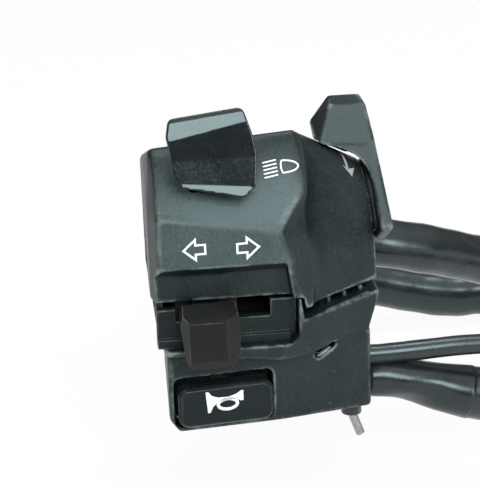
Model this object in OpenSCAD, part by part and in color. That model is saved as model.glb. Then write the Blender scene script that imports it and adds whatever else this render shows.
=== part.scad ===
// Left handlebar switch cluster: two clamp halves that carry the dimmer lever,
// the turn slider, the horn button and the choke lever, with loom and lead.
// Millimetres. X runs along the handlebar, Y points forward, Z points up.
// The origin lies on the handlebar's axis at the middle of the clamp.

/* [Handlebar] */
// Diameter of the handlebar that the halves clamp
bar_d = 22.2; // [21.6:0.1:22.8]
// Radial room between the clamp bore and the handlebar
bar_room = 0.05; // [0.02:0.01:0.1]
// Wall between the clamp bore and the switch chambers
saddle_wall = 1.3; // [1:0.1:1.6]

/* [Housing] */
// Length of the housing along the bar
body_len = 48; // [46:0.5:52]
// Wall thickness of the moulded halves
wall = 2.2; // [1.9:0.1:2.5]
// Distance of the arrow face in front of the bar axis
face_y = 30; // [29:0.5:32]
// Width of the flat front faces, from the left end to the flank crease
face_w = 27.3; // [26.5:0.5:29]
// Height of the arrow face's upper edge at the left
arrow_top = 19; // [18:0.5:20]
// Drop of that edge towards the flank
arrow_drop = 4.3; // [2:0.5:5]
// Height of the arrow face's lower edge above the bar axis
arrow_bot = 8; // [7.5:0.5:9]
// Set-back of the lip under the arrow face
lip_back = 3; // [2.5:0.1:3.5]
// Height of the housing's top edge at the left
top_z = 30.4; // [29.5:0.1:31.5]
// Distance of the top edge in front of the bar axis
top_y = 18; // [16:0.5:20]
// Rise of the top edge towards the flank
top_rise = 2; // [0:0.5:3]
// Height of the back slope above the bar axis
back_z = 23; // [22:0.5:25]
// Distance of the back behind the bar axis
back_y = 19.6; // [19:0.2:22]
// Radius of the round right end
end_r = 20.7; // [20.4:0.1:21.6]
// Depth of the flange of the lower half, at the left
flange_z = 11.4; // [11:0.1:12]
// Depth of the flat bottom below the bar axis
bottom_z = 28.8; // [28:0.2:31]
// Turn of the horn panel towards the flank, in degrees
panel_a = 6; // [4:0.5:8]
// Rounding of the moulded edges
edge_r = 1.2; // [0.8:0.1:1.5]
// Open joint between the halves on the right flank
joint_gap = 2.5; // [1.6:0.1:2.8]
// Fine joint between the halves elsewhere
seam = 0.3; // [0.2:0.05:0.5]

/* [Dimmer lever] */
// Width of the dimmer paddle
dim_w = 18.2; // [16:0.2:19]
// Height of the dimmer paddle
dim_h = 18.2; // [16:0.2:20]
// Thickness of the dimmer paddle
dim_t = 3; // [2.6:0.1:3.4]
// Diameter of the dimmer pivot pin
dim_pin_d = 2.5; // [2:0.1:3]

/* [Turn switch] */
// Width of the turn knob
knob_w = 12.4; // [11:0.2:13]
// Height of the turn knob
knob_h = 12.6; // [11:0.2:13.4]
// Stand-out of the turn knob from the slot plate
knob_out = 8.8; // [8:0.2:10]
// Grooves on the turn knob's face
knob_ribs = 15; // [8:1:18]
// Travel of the turn knob from left to right
turn_travel = 6.6; // [5:0.2:7]
// Travel of the cancel push
cancel_travel = 1.6; // [1:0.1:1.8]
// Thickness of the slot plate
plate_t = 2.2; // [1.8:0.1:2.4]

/* [Horn button] */
// Width of the horn button
horn_w = 20.2; // [18:0.2:20.4]
// Height of the horn button
horn_h = 8.8; // [8:0.2:9.2]
// Stand-out of the horn button from its panel
horn_out = 2.6; // [2.2:0.1:3.2]
// Travel of the horn button
horn_travel = 2; // [1.2:0.1:2]
// Diameter of the horn button's stem
horn_stem_d = 5; // [4:0.2:5.4]

/* [Choke lever] */
// Thickness of the choke lever's hub, which turns in a groove of the right end
hub_t = 2.6; // [2.2:0.1:3]
// Outer radius of the hub
hub_r = 15.4; // [14.6:0.2:16]
// Thickness of the arm outside the right end
arm_t = 2.8; // [2.4:0.1:3.4]
// Turn of the choke lever towards the rider, in degrees
choke_turn = 50; // [40:1:54]
// Reach of the wing along its face, past the hub's tangent point
wing_reach = 28.2; // [26:0.2:30]
// Thickness of the wing
wing_t = 5; // [4:0.2:6]
// Least room between the wing and the neck of the housing, as the lever turns
wing_room = 0.25; // [0.2:0.05:0.6]

/* [Fasteners and cables] */
// Thread diameter of the housing screws
screw_d = 4; // [3.6:0.1:4.4]
// Head diameter of the housing screws
screw_head_d = 7.6; // [7:0.1:8]
// Diameter of the loom sleeve
loom_d = 11.4; // [10:0.2:12]
// Diameter of the thin lead
lead_d = 4.4; // [4:0.1:4.6]
// Running clearance of the sliding pieces
run = 0.1; // [0.08:0.01:0.14]

/* [Hidden] */
$fn = 64;

// Ends and main planes
xl = -body_len / 2;
xr = body_len / 2;
far = 80;
bore_r = bar_d / 2 + bar_room;
saddle_r = bore_r + saddle_wall;
xc = xl + face_w;
lip_y = -(face_y - lip_back);
low_y = -(face_y - 3);
low_xl = xl + 2.2;
low_xr = xr - 1.6;
seat = 0.02;
joint_taper = 0.7;

// Turn switch planes, from the plate at the front to the board at the bar
plate_f = lip_y + 0.6;
plate_b = plate_f + plate_t;
slot_z0 = -4.4;
turn_floor = -7.6;
recess_floor = -(flange_z - 1.4);
board_t = 1.8;
board_f = -saddle_r - board_t;
stud_h = 0.8;
wiper_b = board_f - stud_h - 0.3;
wiper_t = 0.9;
car_f = plate_b + 0.3;
car_b = wiper_b - wiper_t;
knob_x = xl + 11.4;
car_w = 13;
stem_w = 5.6;
stem_h = 3.2;
stem_z = -2.4;
stem_end = car_f + 3.4;
pocket_end = stem_end + cancel_travel + 1.4;
ball_r = 1.2;
ball_x = knob_x + stem_w / 2 + 2;
ball_y = car_f + 2.6;
turn_x1 = knob_x + turn_travel + car_w / 2 + 1.5;
chamber_x0 = xl + wall + 0.4;
scr_fx = max(xr - 12.6, turn_x1 + 6);
chamber_x1 = scr_fx - 5.9;

// Horn planes
horn_x = low_xl + 1.9 + horn_w / 2;
horn_z = -bottom_z + 1.9 + horn_h / 2;
horn_f = low_y - horn_out;
horn_b = low_y + 2;
horn_floor = horn_b + horn_travel + 0.6;
horn_wall = horn_floor + wall;
horn_tip = horn_wall + 4;
floor_z = -bottom_z + wall;
hboard_f = horn_tip + 0.6 + horn_travel + 0.2 + 0.6;

// Dimmer pivot and faces: the sloped face rises from the arrow face to the top edge
crease_z = (arrow_top - arrow_drop + top_z + top_rise) / 2;
slope_a = atan2(top_z + top_rise / 2 - arrow_top + arrow_drop / 2, face_y - top_y);
piv_y = -(face_y + top_y) / 2 + 5.5;
piv_z = (top_z + top_rise / 2 + arrow_top - arrow_drop / 2) / 2 - 1.3;
dim_x = xl + 13.5;
dim_rock = 14;
dim_lean = 16;
barrel_r = dim_pin_d / 2 + 1.75;
barrel_w = 8;
dboard_f = piv_y + 8.5;

// Choke lever: the wing's face is tangent to a circle round the bar
wing_a = 29.8;
wing_d = 20.4;
wing_crease = wing_reach - 5.6;
end_lip = 1.4;
washer_t = 0.6;
hub_x1 = xr - end_lip - run;
hub_x0 = hub_x1 - hub_t;
sink_x = hub_x0 - run - washer_t;
arm_x0 = xr + 0.8;
arm_x1 = arm_x0 + arm_t;
neck_in = end_r - wall - 1.4;
rim_r = end_r - 1.2;
neck_dy = 0.2;
neck_dz = -1.1;
nip_y = -9.6;
nip_z = 10.4;

// Screws
scr_fy = -17;
scr_bx = xl + 18;
scr_by = bore_r + 4.3;
scr_f_seat = -13.3;
scr_b_seat = -8.6;
scr_top = 9;
head_h = 2.8;

// Cable outlets on the right of the lower half
out_y = -13;
lead_z = -20.6;
loom_z = -25.8;
spigot_r = 1.8;

stub_x = xr - 5.3;
stub_y = -15.5;
stub_r = 2.2;

// Points of the two cords, chosen by hand
loom_pts = [[45.4, -11, -32], [55, -10.8, -34.4], [64.6, -11.6, -36.8], [75, -11.2, -38.8], [86, -6.4, -40],
  [94.4, 3.8, -39.8], [97.4, 16, -38.2], [94.5, 28.3, -35.4], [86.4, 38, -31.6], [75, 42.6, -27.2],
  [63, 41.4, -22.6], [52.4, 36.8, -18], [42.6, 32, -13.8], [30.6, 29.4, -10.4], [17.6, 30.2, -9.4],
  [5, 35, -11.6], [-4.6, 44, -15.8], [-8.6, 56, -20.6], [-5.8, 68.2, -25.6], [3, 77.4, -30.4],
  [15, 81.8, -34.4], [28, 82.4, -38], [40, 81.7, -41], [51, 80.7, -43.6], [60, 80, -45], [67, 80, -45],
  [74, 80, -45]];
lead_pts = [[low_xr, out_y, lead_z], [low_xr + 4, out_y, lead_z], [33, -13, -20.4], [44, -12.5, -20.2],
  [56, -11.5, -21], [64, -8.5, -22.6], [69.5, -2, -24.6], [71, 6, -26.4], [71, 12, -27.4]];

function unit(v) = v / norm(v);
function ease(a, b, c, d, t) = 0.5 * (2 * b + (c - a) * t + (2 * a - 5 * b + 4 * c - d) * t * t
  + (3 * b - a - 3 * c + d) * t * t * t);
function path(p, n) = let (m = len(p) - 1)
  concat([for (i = [0 : m - 1]) for (k = [0 : n - 1])
    ease(p[max(i - 1, 0)], p[i], p[i + 1], p[min(i + 2, m)], k / n)], [p[m]]);
function along(p, i) = unit(p[min(i + 1, len(p) - 1)] - p[max(i - 1, 0)]);
function sides_of(p, i, n0) = let (t = along(p, i), n = unit(n0 - t * (n0 * t)))
  i == len(p) - 1 ? [n] : concat([n], sides_of(p, i + 1, n));
function path_len(p, i = 0) = i >= len(p) - 1 ? 0 : norm(p[i + 1] - p[i]) + path_len(p, i + 1);

// Tube of diameter d along the points p, with k sides
module tube(p, d, k) {
  up = sides_of(p, 0, [0.05, 0.1, 1]);
  m = len(p);
  ring = [for (i = [0 : m - 1]) let (t = along(p, i), a = up[i], b = cross(t, a))
    for (j = [0 : k - 1]) p[i] + (a * cos(j * 360 / k) + b * sin(j * 360 / k)) * d / 2];
  quads = [for (i = [0 : m - 2]) for (j = [0 : k - 1]) let (u = (j + 1) % k)
    each [[i * k + j, i * k + u, (i + 1) * k + u], [i * k + j, (i + 1) * k + u, (i + 1) * k + j]]];
  polyhedron(concat(ring, [p[0], p[m - 1]]), [for (f = concat(quads,
    [for (j = [0 : k - 1]) [m * k, (j + 1) % k, j]],
    [for (j = [0 : k - 1]) [m * k + 1, (m - 1) * k + j, (m - 1) * k + (j + 1) % k]])) [f[2], f[1], f[0]]]);
}

module ball(p, r) {
  translate(p) sphere(r, $fn = 10);
}
// Cylinder along X from x0 to x1
module rod_x(x0, x1, r) {
  translate([x0, 0, 0]) rotate([0, 90, 0]) cylinder(h = x1 - x0, r = r);
}
// Box from corner a to corner b
module box(a, b) {
  translate(a) cube(b - a);
}
// Outline in Y and Z, drawn along X from x0 to x1
module along_x(x0, x1) {
  translate([x0, 0, 0]) rotate([90, 0, 90]) linear_extrude(x1 - x0) children();
}
// Outline in X and Z, drawn along Y from y0 to y1
module along_y(y0, y1) {
  translate([0, y1, 0]) rotate([90, 0, 0]) linear_extrude(y1 - y0) children();
}

// Concave neck of the right end, turned about an axis beside the bar's
module neck_cut(room = 0) {
  translate([0, neck_dy, neck_dz]) rotate([0, 90, 0]) rotate_extrude($fn = 72) polygon([[far, xr - 17],
    [end_r + 14 + room, xr - 16.4], [end_r + 9.4 + room, xr - 15.4], [end_r + 7 + room, xr - 14.2],
    [end_r + 5.4 + room, xr - 12.4], [rim_r + room, xr + 0.5], [rim_r + room, far], [far, far]]);
}
// Turned outline of the horn panel, about the middle of the horn button
module on_panel() {
  translate([horn_x, low_y, 0]) rotate([0, 0, panel_a]) translate([-horn_x, -low_y, 0]) children();
}
// Groove in the right end for the choke lever's hub, and the arc that its arm sweeps
module hub_groove() {
  rod_x(sink_x, xr - end_lip, hub_r + 0.4);
  intersection() {
    rod_x(xr - end_lip - 1, xr + 1, hub_r + 0.4);
    along_x(xr - end_lip - 1, xr + 1) polygon(concat([[0, 0]],
      [for (k = [0 : 6]) let (q = 82 + k * (choke_turn + 73) / 6) [cos(q), sin(q)] * far]));
  }
}

// Outer form of the upper half, before the cuts
module upper_form() {
  difference() {
    hull() {
      for (z = [-7, arrow_top - 0.6]) ball([xl + 2.4, -face_y + edge_r, z], edge_r);
      for (z = [-7, arrow_top - 1.2]) ball([xl + edge_r, -face_y + 6, z], edge_r);
      ball([xl + edge_r + 1, -top_y + 0.8, top_z - edge_r], edge_r);
      ball([xl + edge_r + 0.4, -top_y + 5, top_z - 4], edge_r);
      ball([xl + edge_r + 0.9, 3, back_z - edge_r], edge_r);
      for (z = [-7, 8]) ball([xl + edge_r + 2, back_y - edge_r, z], edge_r);
      ball([xc - 0.8, -face_y + edge_r, arrow_top - arrow_drop - 0.6], edge_r);
      ball([xc + 5, -face_y + edge_r, -7], edge_r);
      ball([xc + 3.5, -(face_y + top_y) / 2 + 1, crease_z - 1.3], edge_r);
      ball([xc + 3.7, -top_y + 0.8, top_z + top_rise - edge_r], edge_r);
      ball([xc + 7.5, 6.4, back_z + 1.5 - edge_r], edge_r);
      translate([0, neck_dy, neck_dz]) rod_x(xr - 1, xr, end_r + 0.7, $fn = 48);
    }
    neck_cut();
  }
}
// Height of the upper half's edge on the flank
function flank_z(x) = -2.4 + 1.9 * (x - xc - 4.3) / (xr - xc - 4.3);
// Space below the upper half, with the step of the joint on the flank
module below_upper() {
  along_y(-far, far) polygon([[xl - far, seam / 2], [xc + 3.9, seam / 2], [xc + 4.3, flank_z(xc + 4.3)],
    [xr, flank_z(xr)], [xr + far, flank_z(xr)], [xr + far, -far], [xl - far, -far]]);
}
// Space above the lower half
module above_lower() {
  along_y(-far, far) polygon([[xl - far, -seam / 2], [xc + 3.3, -seam / 2],
    [xc + 4, flank_z(xc + 4) - joint_gap], [xr, flank_z(xr) - joint_gap + joint_taper],
    [xr + far, flank_z(xr) - joint_gap + joint_taper], [xr + far, far], [xl - far, far]]);
}
// Switch chamber of the upper half
module upper_chamber() {
  y0 = lip_y + wall + 0.3;
  y1 = -face_y + wall + 0.5;
  along_x(chamber_x0, chamber_x1) polygon([[y0, -8], [y0, arrow_bot - 1.5], [y1, arrow_bot + 1.5],
    [y1, arrow_top - arrow_drop - 0.7], [-top_y + 0.6, top_z - wall - 1.4],
    [0, back_z - wall - 0.2], [back_y - wall - 5, 13], [back_y - wall - 1.2, 6], [back_y - wall - 1.2, -8]]);
}
// Window in the sloped face for the dimmer lever
module dimmer_window() {
  translate([dim_x, piv_y, piv_z]) rotate([slope_a, 0, 0])
    translate([-barrel_w / 2 - 0.6, -4.4, -1]) cube([barrel_w + 1.2, 7.2, 14]);
}
module screw_hole(x, y, z0, z1, r) {
  translate([x, y, z0]) cylinder(h = z1 - z0, r = r);
}

module upper_housing() {
  color([0.16, 0.18, 0.19]) difference() {
    union() {
      difference() {
        upper_form();
        below_upper();
        // lip recess under the arrow face
        intersection() {
          along_x(xl - 9, xc + 9) polygon([[-far, arrow_bot + 0.3], [-face_y - 0.1, arrow_bot + 0.3],
            [lip_y, arrow_bot - 2], [lip_y, -far], [-far, -far]]);
          along_y(-far, lip_y) polygon([[xl - 9, arrow_bot + 2], [xc - 1, arrow_bot + 2],
            [xc + 0.6, arrow_bot - 0.6], [xc + 2, -2], [xc + 2, -far], [xl - 9, -far]]);
        }
        upper_chamber();
        difference() {
          rod_x(chamber_x1 + 2.4, sink_x - wall - 0.4, neck_in);
          translate([scr_fx, scr_fy, -far]) cylinder(h = 2 * far, r = 4.2);
        }
      }
      // cheeks that hold the dimmer pin
      intersection() {
        upper_form();
        for (s = [-1, 1]) translate([dim_x + s * (barrel_w / 2 + 1.6), piv_y, piv_z]) rotate([slope_a, 0, 0])
          translate([-1.3, -4, -4]) cube([2.6, 8, 14]);
      }
      // boss of the back screw
      intersection() {
        difference() {
          upper_form();
          below_upper();
        }
        translate([scr_bx, scr_by, seam / 2]) cylinder(h = scr_top + 2, r = 4);
      }
    }
    dimmer_window();
    hub_groove();
    rod_x(xl - 1, xr + 1, bore_r);
    translate([dim_x, piv_y, piv_z]) rod_x(-barrel_w / 2 - 3.2, barrel_w / 2 + 3.2, dim_pin_d / 2 + seat);
    screw_hole(scr_fx, scr_fy, -8, scr_top + 0.5, screw_d / 2 + seat);
    screw_hole(scr_bx, scr_by, -8, scr_top + 0.5, screw_d / 2 + seat);
  }
}

// Outer form of the lower half's flange and collar
module collar_form() {
  y0 = -face_y + 0.5 + edge_r;
  hull() {
    ball([xl + 2.4, y0, 4], edge_r);
    ball([xl + 3.5, y0, -flange_z + edge_r], edge_r);
    ball([xl + edge_r, -face_y + 6, 4], edge_r);
    ball([xl + edge_r + 1.4, -face_y + 6, -flange_z + edge_r + 0.4], edge_r);
    ball([xc + 4.4, y0, 2], edge_r);
    ball([xc + 3.6, y0, -4.4], edge_r);
    ball([xc - 1.2, y0, -flange_z - 1.2], edge_r);
    ball([xc + 4.6, y0 + 2.6, -flange_z - 1.6], edge_r);
    for (y = [-19.3, 13]) ball([low_xr - 1, y, -flange_z + 1], edge_r);
    for (z = [-6.6, 4]) ball([xl + edge_r + 2, back_y - edge_r, z], edge_r);
    ball([xl + edge_r + 2.4, back_y - 3, -flange_z + 1], edge_r);
    ball([xr - 6, back_y - 3, -flange_z + 1], edge_r);
    intersection() {
      rod_x(xr - 0.6, xr, end_r + 1.3, $fn = 48);
      box([0, -far, -3.4], [far, far, 4]);
    }
  }
}
// Outer form of the lower body: the horn panel and the flank meet in a crease
module body_form() {
  py = tan(panel_a);
  z0 = -bottom_z + 1;
  hull() {
    for (q = [[low_xl + 1.4, -7], [low_xl + 1.4, z0 + 2.2], [low_xl + 2.9, z0]])
      ball([q[0], low_y + 1 + (q[0] - horn_x) * py, q[1]], 1);
    for (z = [-7, z0]) {
      ball([xc - 1.2, low_y + 1 + (xc - 1.2 - horn_x) * py, z], 1);
      ball([low_xr - 1, 9, z], 1);
      ball([low_xl + 3.4, 9, z], 1);
    }
    for (z = [-flange_z - 0.6, z0 - 0.6]) ball([low_xr - 1, -19.6, z], 1);
  }
}
// Chamber of the lower body, round the bar's saddle
module body_chamber() {
  difference() {
    union() {
      intersection() {
        box([low_xl + wall, low_y, floor_z], [xc, 10 - wall, -8]);
        on_panel() box([-far, horn_wall, -far], [far, far, far]);
      }
      box([xc - 0.1, -18, floor_z], [low_xr - wall, 10 - wall, -8]);
    }
    rod_x(xl, xr, saddle_r);
    translate([scr_fx, scr_fy, -far]) cylinder(h = 2 * far, r = screw_head_d / 2 + 1.8);
    box([xl, -far, turn_floor - wall], [chamber_x1 + wall, -saddle_r + 0.6, far]);
  }
}

module lower_housing() {
  color([0.15, 0.17, 0.18]) difference() {
    union() {
      difference() {
        union() {
          collar_form();
          body_form();
        }
        above_lower();
        // recess of the turn switch, open at the left, with the plate's seat
        along_y(-far, plate_b) polygon([[xl - 9, recess_floor], [xc + 1.4, recess_floor],
          [xc + 2.8, recess_floor + 1.4], [xc + 2.8, far], [xl - 9, far]]);
        // chamber of the turn switch
        box([chamber_x0, plate_b - 1, turn_floor], [chamber_x1, -saddle_r, far]);
        body_chamber();
        // horn recess
        on_panel() translate([horn_x, 0, horn_z + 0.4]) along_y(-far, horn_floor) offset(1.6)
          square([horn_w + 1 - 3.2, horn_h + 2.4 - 3.2], center = true);
        // chamber behind the neck, up to the end wall
        difference() {
          rod_x(chamber_x1 + 2.4, sink_x - wall - 0.4, neck_in);
          rod_x(xl, xr, saddle_r);
          box([xl, -far, -far], [xr, far, turn_floor]);
          translate([scr_fx, scr_fy, -far]) cylinder(h = 2 * far, r = 4.2);
        }
      }
      // ribs that cross the open joint
      for (k = [0 : 2]) let (x = xr - 11.3 + 3.6 * k)
        translate([x, -end_r - 0.7 - 1.5 * (2 - k), flank_z(x) - joint_gap - 2])
          cube([0.9, 1.6, 2 + joint_gap * 0.7]);
    }
    hub_groove();
    rod_x(xl - 1, xr + 1, bore_r);
    // back screw: spot face and clear hole
    screw_hole(scr_bx, scr_by, -far, scr_b_seat, screw_head_d / 2 + 0.5);
    screw_hole(scr_bx, scr_by, -far, 1, screw_d / 2 + 0.2);
    // front screw: pocket from below and clear hole
    screw_hole(scr_fx, scr_fy, -far, scr_f_seat, screw_head_d / 2 + 0.3);
    screw_hole(scr_fx, scr_fy, -far, 1, screw_d / 2 + 0.2);
    // crescent window on the flank, in front of the screw's head
    translate([scr_fx + 0.8, scr_fy - 2, scr_f_seat - 1]) rotate([0, -32, 0]) {
      translate([-1.7, -8, -0.9]) cube([3.4, 8, 1.8]);
      for (s = [-1, 1]) translate([s * 1.7, 0, 0]) rotate([90, 0, 0]) cylinder(h = 8, r = 0.9);
    }
    // guide of the horn stem
    on_panel() translate([horn_x, horn_floor - 1, horn_z]) rotate([-90, 0, 0])
      cylinder(h = wall + 2, r = horn_stem_d / 2 + run);
    // detent dimples on the turn floor
    for (k = [0 : 2]) translate([ball_x + k * turn_travel / 2, ball_y, turn_floor + ball_r - 0.2])
      sphere(ball_r);
    // outlets
    translate([0, out_y, lead_z]) rod_x(low_xr - wall - 0.5, low_xr + 1.5, lead_d / 2 + 0.4 + seat);
    translate([0, out_y, loom_z]) rod_x(low_xr - wall + 0.8, low_xr + 1.5, spigot_r + seat);
    translate([stub_x, stub_y, -far]) cylinder(h = far + floor_z + 0.4, r = stub_r + seat);
  }
}

module screw(x, y, z_seat, z_top) {
  translate([x, y, z_seat]) {
    cylinder(h = z_top - z_seat, r = screw_d / 2);
    difference() {
      translate([0, 0, -head_h]) cylinder(h = head_h, r = screw_head_d / 2);
      for (a = [0, 90]) rotate([0, 0, a]) translate([-0.5, -2.2, -head_h - 1]) cube([1, 4.4, 2.4]);
    }
  }
}
module housing_screws() {
  color([0.7, 0.7, 0.68]) {
    screw(scr_fx, scr_fy, scr_f_seat, scr_top);
    screw(scr_bx, scr_by, scr_b_seat, scr_top);
  }
}

module slot_plate() {
  x0 = xl + 0.9;
  x1 = xc + 2.6;
  s0 = knob_x - 6.6;
  s1 = knob_x + turn_travel + stem_w / 2 + 3.7;
  color([0.1, 0.11, 0.12]) difference() {
    union() {
      along_y(plate_f, plate_b) polygon([[x0, recess_floor], [xc + 1.3, recess_floor],
        [x1, recess_floor + 1.3], [x1, -0.8], [s1, -0.8], [s1, slot_z0], [s0, slot_z0], [s0, -1.7],
        [x0, -1.7]]);
      box([x0, plate_f - 0.8, recess_floor], [xc + 1.2, plate_f, recess_floor + 1.9]);
    }
    translate([x0 - 1, plate_f - 2, recess_floor + 1.5]) rotate([45, 0, 0]) cube([far, 0.6, 0.6]);
  }
}

module turn_board() {
  color([0.2, 0.14, 0.09]) box([chamber_x0, board_f, turn_floor], [turn_x1 - 1, -saddle_r, 4.4]);
}
module turn_studs() {
  color([0.8, 0.62, 0.3]) for (k = [0 : 2])
    translate([knob_x + k * turn_travel / 2, board_f - stud_h, stem_z]) rotate([-90, 0, 0])
      cylinder(h = stud_h, r = 1.2);
}
module turn_carriage() {
  color([0.16, 0.16, 0.15]) difference() {
    box([knob_x - car_w / 2, car_f, turn_floor + run], [knob_x + car_w / 2, car_b, 3.2]);
    box([knob_x - stem_w / 2 - run, car_f - 1, stem_z - stem_h / 2 - run],
      [knob_x + stem_w / 2 + run, pocket_end, stem_z + stem_h / 2 + run]);
    translate([ball_x, ball_y, turn_floor - 1]) cylinder(h = 5, r = ball_r + 0.05);
  }
}
module turn_wiper() {
  color([0.8, 0.62, 0.3]) box([knob_x - 2.6, car_b, stem_z - 1.4], [knob_x + 2.6, wiper_b, stem_z + 1.4]);
}
module detent_ball() {
  color([0.75, 0.76, 0.78]) translate([ball_x, ball_y, turn_floor + run + ball_r]) sphere(ball_r);
}
module detent_spring() {
  z0 = turn_floor + run + 2 * ball_r + 0.02;
  color([0.7, 0.7, 0.7]) translate([ball_x, ball_y, z0]) difference() {
    cylinder(h = turn_floor + 4 - z0, r = ball_r - 0.1);
    translate([0, 0, -1]) cylinder(h = 9, r = ball_r - 0.5);
  }
}
// Knob: ribbed block with a sloped top, on a flat stem, stepped to pass the flange
module turn_knob() {
  back = plate_f - 0.8 - 0.3 - cancel_travel;
  front = plate_f - knob_out - cancel_travel + 0.4;
  low_b = -face_y + 0.5 - 0.4 - cancel_travel;
  zt = 0.3;
  zb = zt - knob_h;
  w = knob_w / 2;
  face_l = knob_x - w + 1.8;
  face_r = knob_x + w - 3.6;
  pitch = (face_r - face_l - 0.6) / knob_ribs;
  color([0.11, 0.1, 0.1]) union() {
    difference() {
      intersection() {
        along_x(knob_x - w, knob_x + w) polygon([[back, zt], [back - 1.8, zt], [front + 0.2, zt - 1.7],
          [front + 0.5, zb + 2.4], [front + 1.6, zb + 0.5], [front + 2.4, zb], [low_b, zb],
          [low_b, recess_floor + 0.6], [back, recess_floor + 0.6]]);
        along_y(front - 1, back + 1) polygon([[knob_x - w + 0.9, zt + 1], [knob_x + w - 0.9, zt + 1],
          [knob_x + w, zt - 3.2], [knob_x + w - 0.2, zb + 2.6], [knob_x + w - 2.4, zb - 0.3],
          [knob_x - w + 3, zb - 0.3], [knob_x - w + 0.9, zb + 2], [knob_x - w, zt - 3.2]]);
        translate([0, 0, zb - 1]) linear_extrude(knob_h + 2) polygon([[face_l, front - 1], [face_l, front],
          [knob_x - w, front + 3.6], [knob_x - w, back + 1], [knob_x + w, back + 1],
          [knob_x + w, front + 3.6], [face_r, front], [face_r, front - 1]]);
      }
      for (k = [0 : knob_ribs]) translate([face_l + 0.3 + (k - 0.22) * pitch, front - 0.4, zb + 1.2])
        cube([pitch * 0.44, 0.75 + (k % 2) * 0.02, knob_h - 4]);
    }
    box([knob_x - stem_w / 2, back - 0.5, stem_z - stem_h / 2],
      [knob_x + stem_w / 2, stem_end, stem_z + stem_h / 2]);
  }
}
module knob_spring() {
  color([0.7, 0.7, 0.7]) translate([knob_x, stem_end, stem_z]) rotate([-90, 0, 0]) difference() {
    cylinder(h = pocket_end - stem_end, r = 1.3);
    translate([0, 0, -1]) cylinder(h = 9, r = 0.9);
  }
}

module horn_button() {
  r = 2.2;
  color([0.09, 0.1, 0.11]) on_panel() union() {
    hull() for (i = [-1, 1]) for (j = [-1, 1])
      translate([horn_x + i * (horn_w / 2 - r), horn_b, horn_z + j * (horn_h / 2 - r)]) rotate([90, 0, 0]) {
        cylinder(h = horn_b - horn_f - 0.7, r = r, $fn = 32);
        cylinder(h = horn_b - horn_f, r = r - 0.6, $fn = 32);
      }
    translate([horn_x, horn_b - 0.5, horn_z]) rotate([-90, 0, 0])
      cylinder(h = horn_tip - horn_b + 0.5, r = horn_stem_d / 2);
  }
}
module horn_spring() {
  color([0.7, 0.7, 0.7]) on_panel() translate([horn_x, horn_b, horn_z]) rotate([-90, 0, 0]) difference() {
    cylinder(h = horn_floor - horn_b, r = horn_stem_d / 2 + 1.1);
    translate([0, 0, -1]) cylinder(h = 9, r = horn_stem_d / 2 + 0.5);
  }
}
module horn_bridge() {
  color([0.8, 0.62, 0.3]) on_panel()
    box([horn_x - 4.6, horn_tip, horn_z - 1.5], [horn_x + 4.6, horn_tip + 0.6, horn_z + 1.5]);
}
module horn_board() {
  color([0.2, 0.14, 0.09]) on_panel()
    box([horn_x - 7, hboard_f, floor_z], [horn_x + 7, hboard_f + 1.6, horn_z + 4]);
}
module horn_blades() {
  color([0.8, 0.62, 0.3]) on_panel() for (s = [-1, 1])
    box([horn_x + s * 3.4 - 1, hboard_f - 0.6, horn_z - 2], [horn_x + s * 3.4 + 1, hboard_f, horn_z + 2]);
}

// Outline of the paddle: a fan, taller towards the flank, with round corners
module paddle_outline() {
  w = dim_w / 2;
  offset(1.4, $fn = 32) offset(-1.4) polygon([[-w + 0.7, dim_h - 1.6], [w - 2.4, dim_h],
    [w - 0.7, dim_h * 0.7], [w, dim_h * 0.49], [w - 0.6, 2], [w - 3.2, 0], [-w + 2.6, 2.6],
    [-w + 1.1, 4.5], [-w + 0.5, dim_h * 0.58], [-w, dim_h * 0.71]]);
}
module dimmer_lever() {
  color([0.05, 0.05, 0.06]) difference() {
    union() {
      translate([dim_x, piv_y, piv_z]) rod_x(-barrel_w / 2, barrel_w / 2, barrel_r);
      // stem out to the paddle
      translate([dim_x, piv_y, piv_z]) rotate([slope_a + dim_rock, 0, 0])
        translate([-barrel_w / 2 + 1.6, -2, 0]) cube([barrel_w - 1.6, 4, 10.6]);
      // tail that carries the rocker contact
      translate([dim_x, piv_y, piv_z]) rotate([slope_a + dim_rock, 0, 0]) translate([-2.6, -1.6, -6.6])
        cube([5.2, 3.2, 6]);
      // paddle: a thumb plate, hollow across its face
      translate([dim_x, -face_y - 1, piv_z + 0.4]) rotate([-dim_lean, 0, 0]) intersection() {
        rotate([90, 0, 0]) translate([0, 0, -dim_t]) linear_extrude(dim_t + 3) paddle_outline();
        along_x(-dim_w, dim_w) polygon([[dim_t, -2], [dim_t, dim_h - 0.5], [dim_t - 0.8, dim_h + 0.3],
          [1.3, dim_h], [0.6, dim_h - 1.8], [0.3, dim_h * 0.76], [0.45, dim_h * 0.45], [0.3, dim_h * 0.2],
          [0, 1], [0.6, -0.3], [1.4, -2]]);
      }
    }
    translate([dim_x, piv_y, piv_z]) rod_x(-barrel_w, barrel_w, dim_pin_d / 2 + 0.05);
  }
}
module dimmer_pin() {
  color([0.75, 0.76, 0.78]) translate([dim_x, piv_y, piv_z])
    rod_x(-barrel_w / 2 - 3.2, barrel_w / 2 + 3.2, dim_pin_d / 2);
}
module dimmer_wiper() {
  color([0.8, 0.62, 0.3]) translate([dim_x, piv_y, piv_z]) rotate([slope_a + dim_rock, 0, 0])
    translate([-1.8, -1.2, -7.4]) cube([3.6, 2.4, 0.8]);
}
module dimmer_board() {
  color([0.2, 0.14, 0.09])
    box([chamber_x0, dboard_f, piv_z - 9], [chamber_x1, dboard_f + 1.6, piv_z - 0.6]);
}
module dimmer_studs() {
  color([0.8, 0.62, 0.3]) for (z = [-5, -2.2])
    translate([dim_x, dboard_f - 0.7, piv_z + z]) rotate([-90, 0, 0]) cylinder(h = 0.7, r = 1.1);
}

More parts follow.
